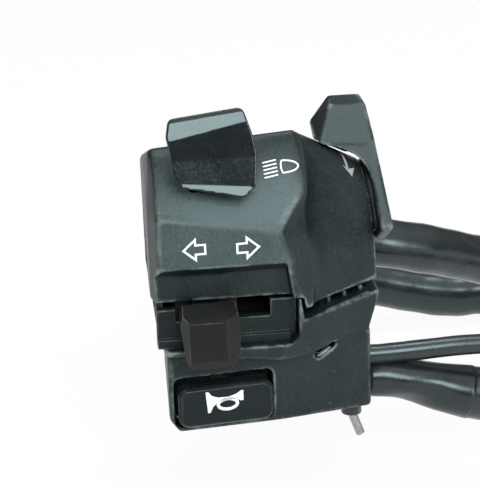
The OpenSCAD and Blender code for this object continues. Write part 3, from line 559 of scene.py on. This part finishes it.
def slant_paddle(piece):
    """Turns the level bends in the paddle's front aslant: the lip at its foot and the band at its top."""
    foot_y, foot_z = PADDLE_FOOT
    inward = Vector((0, math.cos(PADDLE_LEAN), -math.sin(PADDLE_LEAN)))
    for vert in piece.data.vertices:
        x, y, z = vert.co / MM
        back = (y - foot_y) * inward.y + (z - foot_z) * inward.z
        high = (z - foot_z) * inward.y - (y - foot_y) * inward.z
        if back < PADDLE_DEEP and high > -1:
            shift = np.interp(high, *zip(*paddle_front(x))) - np.interp(high, *zip(*PADDLE_FRONT))
            vert.co += inward * float(shift) * ramp(back, PADDLE_DEEP, 1.3) * MM
    return piece


def bevelled(node, name, width):
    """The node's shape with a small round on its sharp edges."""
    piece = merged_copy(node, name)
    edge = piece.modifiers.new("edge", "BEVEL")
    edge.width = width
    edge.segments = 2
    edge.limit_method = "ANGLE"
    edge.angle_limit = math.radians(32)
    edge.harden_normals = True
    return settle(piece)


# Cords: the routes are those of the part's source
LOOM_D = 11.4 * MM
LEAD_D = 4.4 * MM
LOOM_ROUTE = [mm(*p) for p in (
    (45.4, -11, -32), (55, -10.8, -34.4), (64.6, -11.6, -36.8), (75, -11.2, -38.8), (86, -6.4, -40),
    (94.4, 3.8, -39.8), (97.4, 16, -38.2), (94.5, 28.3, -35.4), (86.4, 38, -31.6), (75, 42.6, -27.2),
    (63, 41.4, -22.6), (52.4, 36.8, -18), (42.6, 32, -13.8), (30.6, 29.4, -10.4), (17.6, 30.2, -9.4),
    (5, 35, -11.6), (-4.6, 44, -15.8), (-8.6, 56, -20.6), (-5.8, 68.2, -25.6), (3, 77.4, -30.4),
    (15, 81.8, -34.4), (28, 82.4, -38), (40, 81.7, -41), (51, 80.7, -43.6), (60, 80, -45), (67, 80, -45),
    (74, 80, -45))]
LEAD_ROUTE = [mm(*p) for p in (
    (22.4, -13, -20.6), (26.4, -13, -20.6), (33, -13, -20.4), (44, -12.5, -20.2), (56, -11.5, -21),
    (64, -8.5, -22.6), (69.5, -2, -24.6), (71, 6, -26.4), (71, 12, -27.4))]
ROUTE_STEPS = 6


def through(points, steps):
    """Points on a smooth curve through the points of a route."""
    last = len(points) - 1
    smooth = []
    for i in range(last):
        a, b, c, d = (points[k] for k in (max(i - 1, 0), i, i + 1, min(i + 2, last)))
        for s in range(steps):
            t = s / steps
            smooth.append((2 * b + (c - a) * t + (2 * a - 5 * b + 4 * c - d) * t * t
                           + (3 * b - a - 3 * c + d) * t ** 3) / 2)
    smooth.append(points[last])
    return smooth


def length_of(points):
    return sum((b - a).length for a, b in zip(points, points[1:]))


def sleeve(name, route, diameter, node, swell):
    """A cord's sleeve along its route, a little uneven in thickness over its wires."""
    points = through(route, ROUTE_STEPS)
    curve = bpy.data.curves.new(name, "CURVE")
    curve.dimensions = "3D"
    curve.bevel_depth = diameter / 2
    curve.bevel_resolution = 6
    curve.use_fill_caps = True
    spline = curve.splines.new("POLY")
    spline.points.add(len(points) - 1)
    for i, point in enumerate(points):
        spline.points[i].co = (*point, 1)
        spline.points[i].radius = 1 + swell * math.sin(0.9 * i) * math.sin(0.37 * i)
    spline.use_smooth = True
    piece = bpy.data.objects.new(name, curve)
    scene.collection.objects.link(piece)
    finish_piece(piece, "sleeve", "housing", [node])
    return piece, length_of(points)


loom, loom_length = sleeve("loom_sleeve", LOOM_ROUTE, LOOM_D, "loom", 0.025)
lead, lead_length = sleeve("lead_sleeve", LEAD_ROUTE, LEAD_D, "lead", 0.02)


RING_CORNERS = 40


def ring(bm, place):
    """A loop of edges: a unit circle put in place by the matrix."""
    made = bmesh.ops.create_circle(bm, segments=RING_CORNERS, radius=1, matrix=place)
    return list({edge for vert in made["verts"] for edge in vert.link_edges})


def loft(name, places):
    """A closed skin over rings, one for each matrix."""
    bm = bmesh.new()
    rings = [ring(bm, place) for place in places]
    for a, b in zip(rings, rings[1:]):
        bmesh.ops.bridge_loops(bm, edges=a + b)
    bmesh.ops.holes_fill(bm, edges=rings[0] + rings[-1])
    return new_piece(name, bm)


def ring_place(centre, along, half_wide, half_high):
    """Matrix of a ring across a direction: wide along the level, high across it."""
    level = Vector((0, 0, 1)).cross(along).normalized()
    across = along.cross(level).normalized()
    turn = Matrix((level, across, along)).transposed().to_4x4()
    turn.translation = centre
    return turn @ Matrix.Diagonal((half_wide, half_high, 1, 1))


# Boot of the loom: flat at the housing, round at the sleeve
BOOT_START = mm(22.4, -13, -26.3)
BOOT_LEAVES = mm(30, 0.5, 0)
BOOT_ARRIVES = 22 * MM
BOOT_RINGS = 24


def make_boot():
    end = LOOM_ROUTE[0]
    out = (LOOM_ROUTE[1] - end).normalized()
    arrives = out * BOOT_ARRIVES
    places = []
    for k in range(BOOT_RINGS + 1):
        t = k / BOOT_RINGS
        blend_in = t * t * (3 - 2 * t)
        centre = (BOOT_START * (2 * t ** 3 - 3 * t * t + 1) + BOOT_LEAVES * (t ** 3 - 2 * t * t + t)
                  + end * (3 * t * t - 2 * t ** 3) + arrives * (t ** 3 - t * t))
        along = (Vector((1, 0, 0)).lerp(out, blend_in)).normalized()
        fold = 0.05 * math.sin(9 * t) * (1 - t)
        wide = (4.3 + 1.6 * blend_in) * (1 + fold) * MM
        high = (2.9 + 3.0 * t ** 0.6) * (1 - fold) * MM
        places.append(ring_place(centre, along, wide, high))
    piece = loft("loom_boot_skin", places)
    for k, vert in enumerate(piece.data.vertices):
        t = (k // RING_CORNERS) / BOOT_RINGS
        turn = math.tau * (k % RING_CORNERS) / RING_CORNERS
        centre = places[min(k // RING_CORNERS, BOOT_RINGS)].translation
        pinch = 0.18 * math.exp(-(t / 0.42) ** 2) * math.cos(2 * turn - 3.6 * t)
        pinch += 0.07 * math.exp(-((t - 0.45) / 0.3) ** 2) * math.cos(3 * turn + 6 * t)
        vert.co = centre + (vert.co - centre) * (1 + pinch)
    return finish_piece(piece, "soft", "housing", ["loom_boot"])


# Collar of the lead: its radius at some places along X
COLLAR_STEPS = ((19.2, 3.0), (19.3, 3.2), (20.1, 3.2), (20.2, 2.6), (22.3, 2.6), (22.9, 2.5), (23.1, 2.3))


def make_lead_collar():
    along = Vector((1, 0, 0))
    places = [ring_place(mm(x, -13, -20.6), along, r * MM, r * MM) for x, r in COLLAR_STEPS]
    return finish_piece(loft("lead_collar", places), "soft", "housing", ["lead_grommet"])


make_boot()
make_lead_collar()

# A pale patch in the window of the front screw
PATCH_CENTRE = mm(12, -22, -15.35)
PATCH_ALONG = (0.84, 0.14, 0.53)
PATCH_HALVES = mm(1.9, 0.6, 0.42)


def make_screw_patch():
    """A pale, mottled flat lens on the floor of the front screw's window."""
    along = Vector(PATCH_ALONG).normalized()
    side = Vector((0, 0, 1)).cross(along).normalized()
    place = Matrix((along, side, along.cross(side))).transposed().to_4x4()
    place.translation = PATCH_CENTRE
    bm = bmesh.new()
    heap = place @ Matrix.Diagonal((*PATCH_HALVES, 1))
    bmesh.ops.create_icosphere(bm, subdivisions=4, radius=1, matrix=heap)
    return finish_piece(new_piece("screw_pale_patch", bm), "steel", "housing", material=PALE_PATCH)


make_screw_patch()

# Choke wing: its inner edge runs in one arc round the neck down to the arm
WING_LEAN = math.radians(29.8)
WING_OUT = 20.4
WING_CELL = 0.28 * MM
WING_ARC = ((13, 12.6), (15.7, 11.5), (17, 11.05), (18.8, 10.4), (20.1, 9.75), (21.4, 8.9), (22.6, 7.7),
            (23.6, 6.1), (24.2, 4.3), (24.6, 2.4), (24.8, -0.2), (24.8, -4))
WING_WEB = ((16.6, 13.5), (25.6, 13.5), (25.6, -0.5), (16.6, -0.5))
# Sideways lean of the cut per depth, which follows the line of sight
CUT_SLIP = (0.13, 0.92)
SHADE_SKIRT_X = 24.12
SHADE_SKIRT_WIDE = 1.4
SHADE_SKIRT_INNER = 15.0
SHADE_SKIRT_OUTER = 18.6


def wing_frame():
    """Matrix of the wing's face: X along the bar, Y up the face, Z out of it."""
    up = Vector((0, math.cos(WING_LEAN), math.sin(WING_LEAN)))
    out = Vector((0, -math.sin(WING_LEAN), math.cos(WING_LEAN)))
    place = Matrix((Vector((1, 0, 0)), up, out)).transposed().to_4x4()
    place.translation = out * WING_OUT * MM
    return place


def draw_out(bm, face, shift):
    """Makes a solid of a face by drawing it out; returns the points of the far end."""
    made = bmesh.ops.extrude_face_region(bm, geom=[face])
    far = [v for v in made["geom"] if isinstance(v, bmesh.types.BMVert)]
    bmesh.ops.translate(bm, vec=shift, verts=far)
    return far


def prism(bm, points, top, bottom, slip=(0, 0)):
    """A solid in the wing's frame over points in millimetres; slip is its sideways lean per depth."""
    face = bm.faces.new([bm.verts.new((x - slip[0] * top, y - slip[1] * top, top)) for x, y in points])
    deep = top - bottom
    verts = list(face.verts) + draw_out(bm, face, (slip[0] * deep, slip[1] * deep, -deep))
    bmesh.ops.scale(bm, vec=(MM, MM, MM), verts=verts)
    bmesh.ops.transform(bm, matrix=wing_frame(), verts=verts)


def make_wing():
    """The lever with a web under its face, trimmed along the arc so that no underside shows."""
    piece = merged_copy("choke_lever", "choke_wing")
    bm = bmesh.new()
    bm.from_mesh(piece.data)
    prism(bm, WING_WEB, -0.2, -1.3)
    bmesh.ops.recalc_face_normals(bm, faces=bm.faces)
    bm.to_mesh(piece.data)
    bm.free()
    cut = bmesh.new()
    prism(cut, (*WING_ARC, (13, -4)), 1, -4.9, CUT_SLIP)
    cutter = new_piece("wing_cutter", cut)
    add_skin(piece, WING_CELL)
    piece.modifiers.new("trim", "BOOLEAN").object = cutter
    add_skin(piece, WING_CELL)
    add_soften(piece, 4)
    add_thin(piece, 0.6)
    settle(piece)
    bpy.data.objects.remove(cutter)
    return piece


def make_wing_shade_skirt():
    """Painted shade: a dark sheet on the lever that closes the slit beside the neck's rim, where shade falls."""
    bm = bmesh.new()
    turns = [math.pi / 2 + WING_LEAN + turn for turn in angles(-42, 31, 6)]
    rim = [(SHADE_SKIRT_OUTER * math.cos(turn), SHADE_SKIRT_OUTER * math.sin(turn)) for turn in turns]
    rim += [(SHADE_SKIRT_INNER * math.cos(turn), SHADE_SKIRT_INNER * math.sin(turn)) for turn in reversed(turns)]
    face = bm.faces.new([bm.verts.new(mm(SHADE_SKIRT_X, y, z)) for y, z in rim])
    draw_out(bm, face, mm(SHADE_SKIRT_WIDE, 0, 0))
    # Black plastic here stands in for the shade in the slit
    return finish_piece(new_piece("wing_shade_skirt", bm), "slider", "choke_lever")


# Housing halves, levers and buttons
upper = smooth_where(moulded("upper_housing", "upper_shell", 0.34 * MM, 3, 0.6), "flank", 90, flank_weight)
smooth_where(swell_crease(crown_slope(upper)), "slope", 16, slope_weight)
mark_edges(upper, 10, 0.25 * MM, worn=(27, 20))
mark_painted_light(upper, front_painted_light)
finish_piece(upper, "housing", "housing", ["upper_housing"])
lower = mark_edges(moulded("lower_housing", "lower_shell", 0.3 * MM, 3, 0.5), 10, 0.25 * MM)
sink_ribs(lower, 1.4)
finish_piece(lower, "housing", "housing", ["lower_housing"])
choke = mark_edges(make_wing(), 10, 0.25 * MM)
mark_painted_light(choke, wing_painted_light)
finish_piece(choke, "housing", "choke_lever", ["choke_lever"])
make_wing_shade_skirt()
paddle = slant_paddle(moulded("dimmer_lever", "dimmer_paddle", 0.2 * MM, 4, 1.0))
add_soften(paddle, 6)
settle(paddle)
finish_piece(paddle, "paddle", "dimmer_lever", ["dimmer_lever"])
horn = mark_edges(moulded("horn_button", "horn_pad", 0.2 * MM, 4, 0.6), 10, 0.2 * MM)
finish_piece(horn, "button", "horn_button", ["horn_button"])
thumb = mark_edges(moulded("turn_knob", "turn_thumb", 0.09 * MM, 1, 0.5), 16, 0.2 * MM)
finish_piece(thumb, "knob", "turn_knob", ["turn_knob"])
guide = mark_edges(moulded("slot_plate", "slot_guide", 0.18 * MM, 2, 0.6), 8, 0.15 * MM)
finish_piece(guide, "guide", "housing", ["slot_plate"])
finish_piece(bevelled("housing_screws", "case_screws", 0.25 * MM), "steel", "housing", ["housing_screws"])
finish_piece(bevelled("stub_bush", "stub_collar", 0.3 * MM), "soft", "housing", ["stub_bush"])
loom_plug = finish_piece(bevelled("loom_connector", "loom_plug", 0.5 * MM), "plug", "housing",
                         ["loom_connector"])
lead_plug = finish_piece(bevelled("lead_connector", "lead_plug", 0.35 * MM), "plug", "housing",
                         ["lead_connector"])
tie = finish_piece(bevelled("cable_tie", "loom_tie", 0.3 * MM), "tie", "housing", ["cable_tie"])


# Printed signs: thin skins that lie on the surface below them
SIGN_LIFT = 0.03 * MM
SIGN_THICK = 0.05 * MM
SIGN_CELL = 0.5 * MM
SIGN_HALVINGS = 4
SIGN_DROP = 10 * MM


def outline(bm, points):
    face = bm.faces.new([bm.verts.new((x, y, 0)) for x, y in points])
    face.normal_update()
    return face


def hollow(bm, face, stroke):
    """Leaves only a line of that width along the inside of the face's edge."""
    bmesh.ops.inset_region(bm, faces=[face], thickness=stroke, use_even_offset=True, use_boundary=True)
    bmesh.ops.delete(bm, geom=[face], context="FACES")


def bar(bm, a, b, width):
    """A straight line of that width from a to b."""
    a, b = Vector(a), Vector(b)
    side = (b - a).orthogonal().normalized() * width / 2
    return outline(bm, [a + side, b + side, b - side, a - side])


def lay_sign(name, bm, place, carrier, body, material):
    """Puts a flat drawing in millimetres in place, and drops it on the carrier along its own -Z."""
    bmesh.ops.scale(bm, vec=(MM, MM, MM), verts=bm.verts)
    bmesh.ops.triangulate(bm, faces=bm.faces)
    for _ in range(SIGN_HALVINGS):
        long_edges = [e for e in bm.edges if e.calc_length() > SIGN_CELL]
        if long_edges:
            bmesh.ops.subdivide_edges(bm, edges=long_edges, cuts=1)
            bmesh.ops.triangulate(bm, faces=bm.faces)
    bmesh.ops.transform(bm, matrix=place, verts=bm.verts)
    down = -place.col[2].to_3d().normalized()
    surface = BVHTree.FromObject(carrier, bpy.context.evaluated_depsgraph_get())
    for vert in bm.verts:
        hit = surface.ray_cast(vert.co - down * SIGN_DROP, down)
        if hit[0] is not None:
            vert.co = hit[0] - down * SIGN_LIFT
    bmesh.ops.recalc_face_normals(bm, faces=bm.faces)
    if sum((f.normal for f in bm.faces), Vector()).dot(down) > 0:
        bmesh.ops.reverse_faces(bm, faces=bm.faces)
    bmesh.ops.solidify(bm, geom=bm.faces[:], thickness=SIGN_THICK)
    piece = new_piece(name, bm)
    return finish_piece(piece, "button", body, material=material)


def sign_place(centre, right, normal):
    """Matrix of a sign: its X along right, its Z out of the surface."""
    out = Vector(normal).normalized()
    side = (Vector(right) - out * Vector(right).dot(out)).normalized()
    place = Matrix((side, out.cross(side), out)).transposed().to_4x4()
    place.translation = centre
    return place


# Turn arrows on the arrow face
ARROW_LENGTH = 5.0
ARROW_HEAD = 3.0
ARROW_HALF = 2.65
ARROW_TAIL = 1.2
ARROW_STROKE = 0.44
FACE_FRONT = -30.0


def turn_arrow(name, x, z, way):
    tip, neck, tail = ARROW_LENGTH / 2, ARROW_LENGTH / 2 - ARROW_HEAD, -ARROW_LENGTH / 2
    points = [(tip, 0), (neck, ARROW_HALF), (neck, ARROW_TAIL), (tail, ARROW_TAIL),
              (tail, -ARROW_TAIL), (neck, -ARROW_TAIL), (neck, -ARROW_HALF)]
    bm = bmesh.new()
    hollow(bm, outline(bm, [(way * u, v) for u, v in points]), ARROW_STROKE)
    place = sign_place(mm(x, FACE_FRONT, z), (1, 0, 0.02), (0, -1, 0))
    lay_sign(name, bm, place, upper, "housing", SIGN_WHITE)


turn_arrow("sign_turn_left", -15.1, 12.35, -1)
turn_arrow("sign_turn_right", -4.0, 12.1, 1)


# Headlamp sign on the sloped face
LENS_HALF = 1.55
LENS_STROKE = 0.35
BEAM_COUNT = 5
BEAM_PITCH = 0.81
BEAM_DROP = 0.42
BEAM_WIDE = 0.31


def headlamp_sign():
    lens = [(-0.6 + 0.5 * math.cos(a), LENS_HALF * math.sin(a)) for a in angles(112, 249, 17)]
    lens += [(-0.77 + 3.69 * math.cos(a), LENS_HALF * 0.98 * math.sin(a)) for a in angles(-84, 85, 12)]
    bm = bmesh.new()
    hollow(bm, outline(bm, lens), LENS_STROKE)
    for k in range(BEAM_COUNT):
        y = 1.62 - BEAM_PITCH * k
        bar(bm, (-4.62, y - BEAM_DROP), (-1.7, y), BEAM_WIDE)
    place = sign_place(mm(4.84, -22.3, 26.2), (1, 0.1, -0.02), (0.1, -0.84, 0.54))
    lay_sign("sign_headlamp", bm, place, upper, "housing", SIGN_WHITE)


headlamp_sign()


# Choke arrow on top of the neck
CHOKE_STEM = ((19.7, 3.2), (20.2, 0.2), (20.3, -5.9))
CHOKE_HEAD = ((19.3, -5.7), (20.95, -8.4), (21.95, -4.7), (20.4, -6.2))
CHOKE_STROKE = 0.5


def choke_arrow():
    bm = bmesh.new()
    for a, b in zip(CHOKE_STEM, CHOKE_STEM[1:]):
        bar(bm, a, b, CHOKE_STROKE)
    outline(bm, CHOKE_HEAD)
    place = sign_place(mm(0, 0, 24), (1, 0, 0), (0, 0, 1))
    lay_sign("sign_choke", bm, place, upper, "housing", SIGN_GREY)


choke_arrow()


# Horn sign on the horn button, whose panel is turned 6 degrees
HORN_TURN = math.radians(6)
HORN_BODY = ((-4.2, 3.0), (-3.6, 3.0), (-2.9, 2.1), (-1.6, 1.55), (0.6, 1.5), (2.2, 1.9), (3.3, 2.6), (3.8, 2.6),
             (3.8, 0.35), (3.2, 0.35), (2.4, 0.75), (0.6, 0.85), (-1.4, 0.6), (-2.6, -0.3), (-3.3, -1.7),
             (-3.8, -1.7))
HORN_STROKE = 0.68


def horn_sign():
    bm = bmesh.new()
    outline(bm, HORN_BODY)
    coil = [(0.45 + 2.4 * math.cos(a), -0.1 + 1.5 * math.sin(a)) for a in angles(0, 360, 15)]
    hollow(bm, outline(bm, coil), HORN_STROKE)
    right = (math.cos(HORN_TURN), math.sin(HORN_TURN), 0)
    normal = (math.sin(HORN_TURN), -math.cos(HORN_TURN), 0)
    lay_sign("sign_horn", bm, sign_place(mm(-9.8, -29.6, -22.1), right, normal), horn, "horn_button", SIGN_WHITE)


horn_sign()

# CAD nodes that keep their own shape
KEPT_NODES = {
    "board": ("turn_board", "horn_board", "dimmer_board"),
    "slider": ("turn_carriage",),
    "contact": ("turn_studs", "turn_wiper", "horn_bridge", "horn_blades", "dimmer_wiper", "dimmer_studs",
                "choke_nipple", "loom_terminals"),
    "steel": ("detent_ball", "detent_spring", "knob_spring", "horn_spring", "dimmer_pin", "choke_washer",
              "stub_core", "loom_clamp", "clamp_screw"),
}
for kept_slot, kept_names in KEPT_NODES.items():
    for kept_name in kept_names:
        for holder in nodes[kept_name].material_slots:
            holder.material = MATERIALS[kept_slot]


# Floor, world and lamps
FLOOR_GAP = 0.3 * MM
FLOOR_GLOW = 0.94
LAMP_COLOUR = (0.94, 1, 1)


def make_floor():
    bm = bmesh.new()
    bmesh.ops.create_grid(bm, x_segments=1, y_segments=1, size=3)
    bmesh.ops.translate(bm, vec=(0, 0, cad_box[0].z - FLOOR_GAP), verts=bm.verts)
    floor = new_piece("floor", bm)
    material, tree, shader = new_material("pale floor")
    tree.nodes.remove(shader)
    output = tree.nodes["Material Output"]
    rays = add(tree, "LightPath").outputs
    seen = plus(tree, plus(tree, rays["Is Camera Ray"], rays["Is Glossy Ray"]), rays["Is Transmission Ray"])
    paper = add(tree, "BsdfDiffuse", {"Color": (0.82, 0.82, 0.82, 1)}).outputs[0]
    glow = add(tree, "Emission", {"Color": (1, 1, 1, 1), "Strength": 1.0}).outputs[0]
    lit = add(tree, "MixShader", {0: times(tree, seen, FLOOR_GLOW), 1: paper, 2: glow}).outputs[0]
    tree.links.new(lit, output.inputs["Surface"])
    floor.data.materials.append(material)


def make_world():
    """A dim pale room, lighter overhead and in front than behind."""
    world = bpy.data.worlds.new("studio")
    world.use_nodes = True
    tree = world.node_tree
    facing = add(tree, "SeparateXYZ", {0: add(tree, "TexCoord").outputs["Generated"]}).outputs
    high = spread(tree, facing["Z"], 0.3, 0.85)
    links = {"Value": facing["Y"], "From Min": 0.5, "From Max": -0.5, "To Min": 0.4, "To Max": 1.15}
    front = add(tree, "MapRange", links, clamp=True).outputs["Result"]
    level = plus(tree, times(tree, high, front), 0.12)
    background = tree.nodes["Background"]
    background.inputs["Color"].default_value = (1, 1, 1, 1)
    tree.links.new(level, background.inputs["Strength"])
    scene.world = world


def make_lamp(name, place, aim, width, height, power):
    data = bpy.data.lights.new(name, "AREA")
    data.shape = "RECTANGLE"
    data.size = width
    data.size_y = height
    data.energy = power
    data.color = LAMP_COLOUR
    lamp = bpy.data.objects.new(name, data)
    lamp.location = place
    lamp.rotation_mode = "QUATERNION"
    lamp.rotation_quaternion = (aim - place).to_track_quat("-Z", "Y")
    scene.collection.objects.link(lamp)


make_floor()
make_world()
make_lamp("key lamp", mm(60, -720, 520), mm(0, 0, 0), 0.5, 0.4, 6.0)
make_lamp("side lamp", mm(620, -780, 250), mm(30, 0, 0), 0.26, 0.34, 3.2)
make_lamp("top lamp", mm(60, 150, 640), mm(20, 0, 0), 0.4, 0.2, 1.7)
scene.view_settings.view_transform = "Standard"
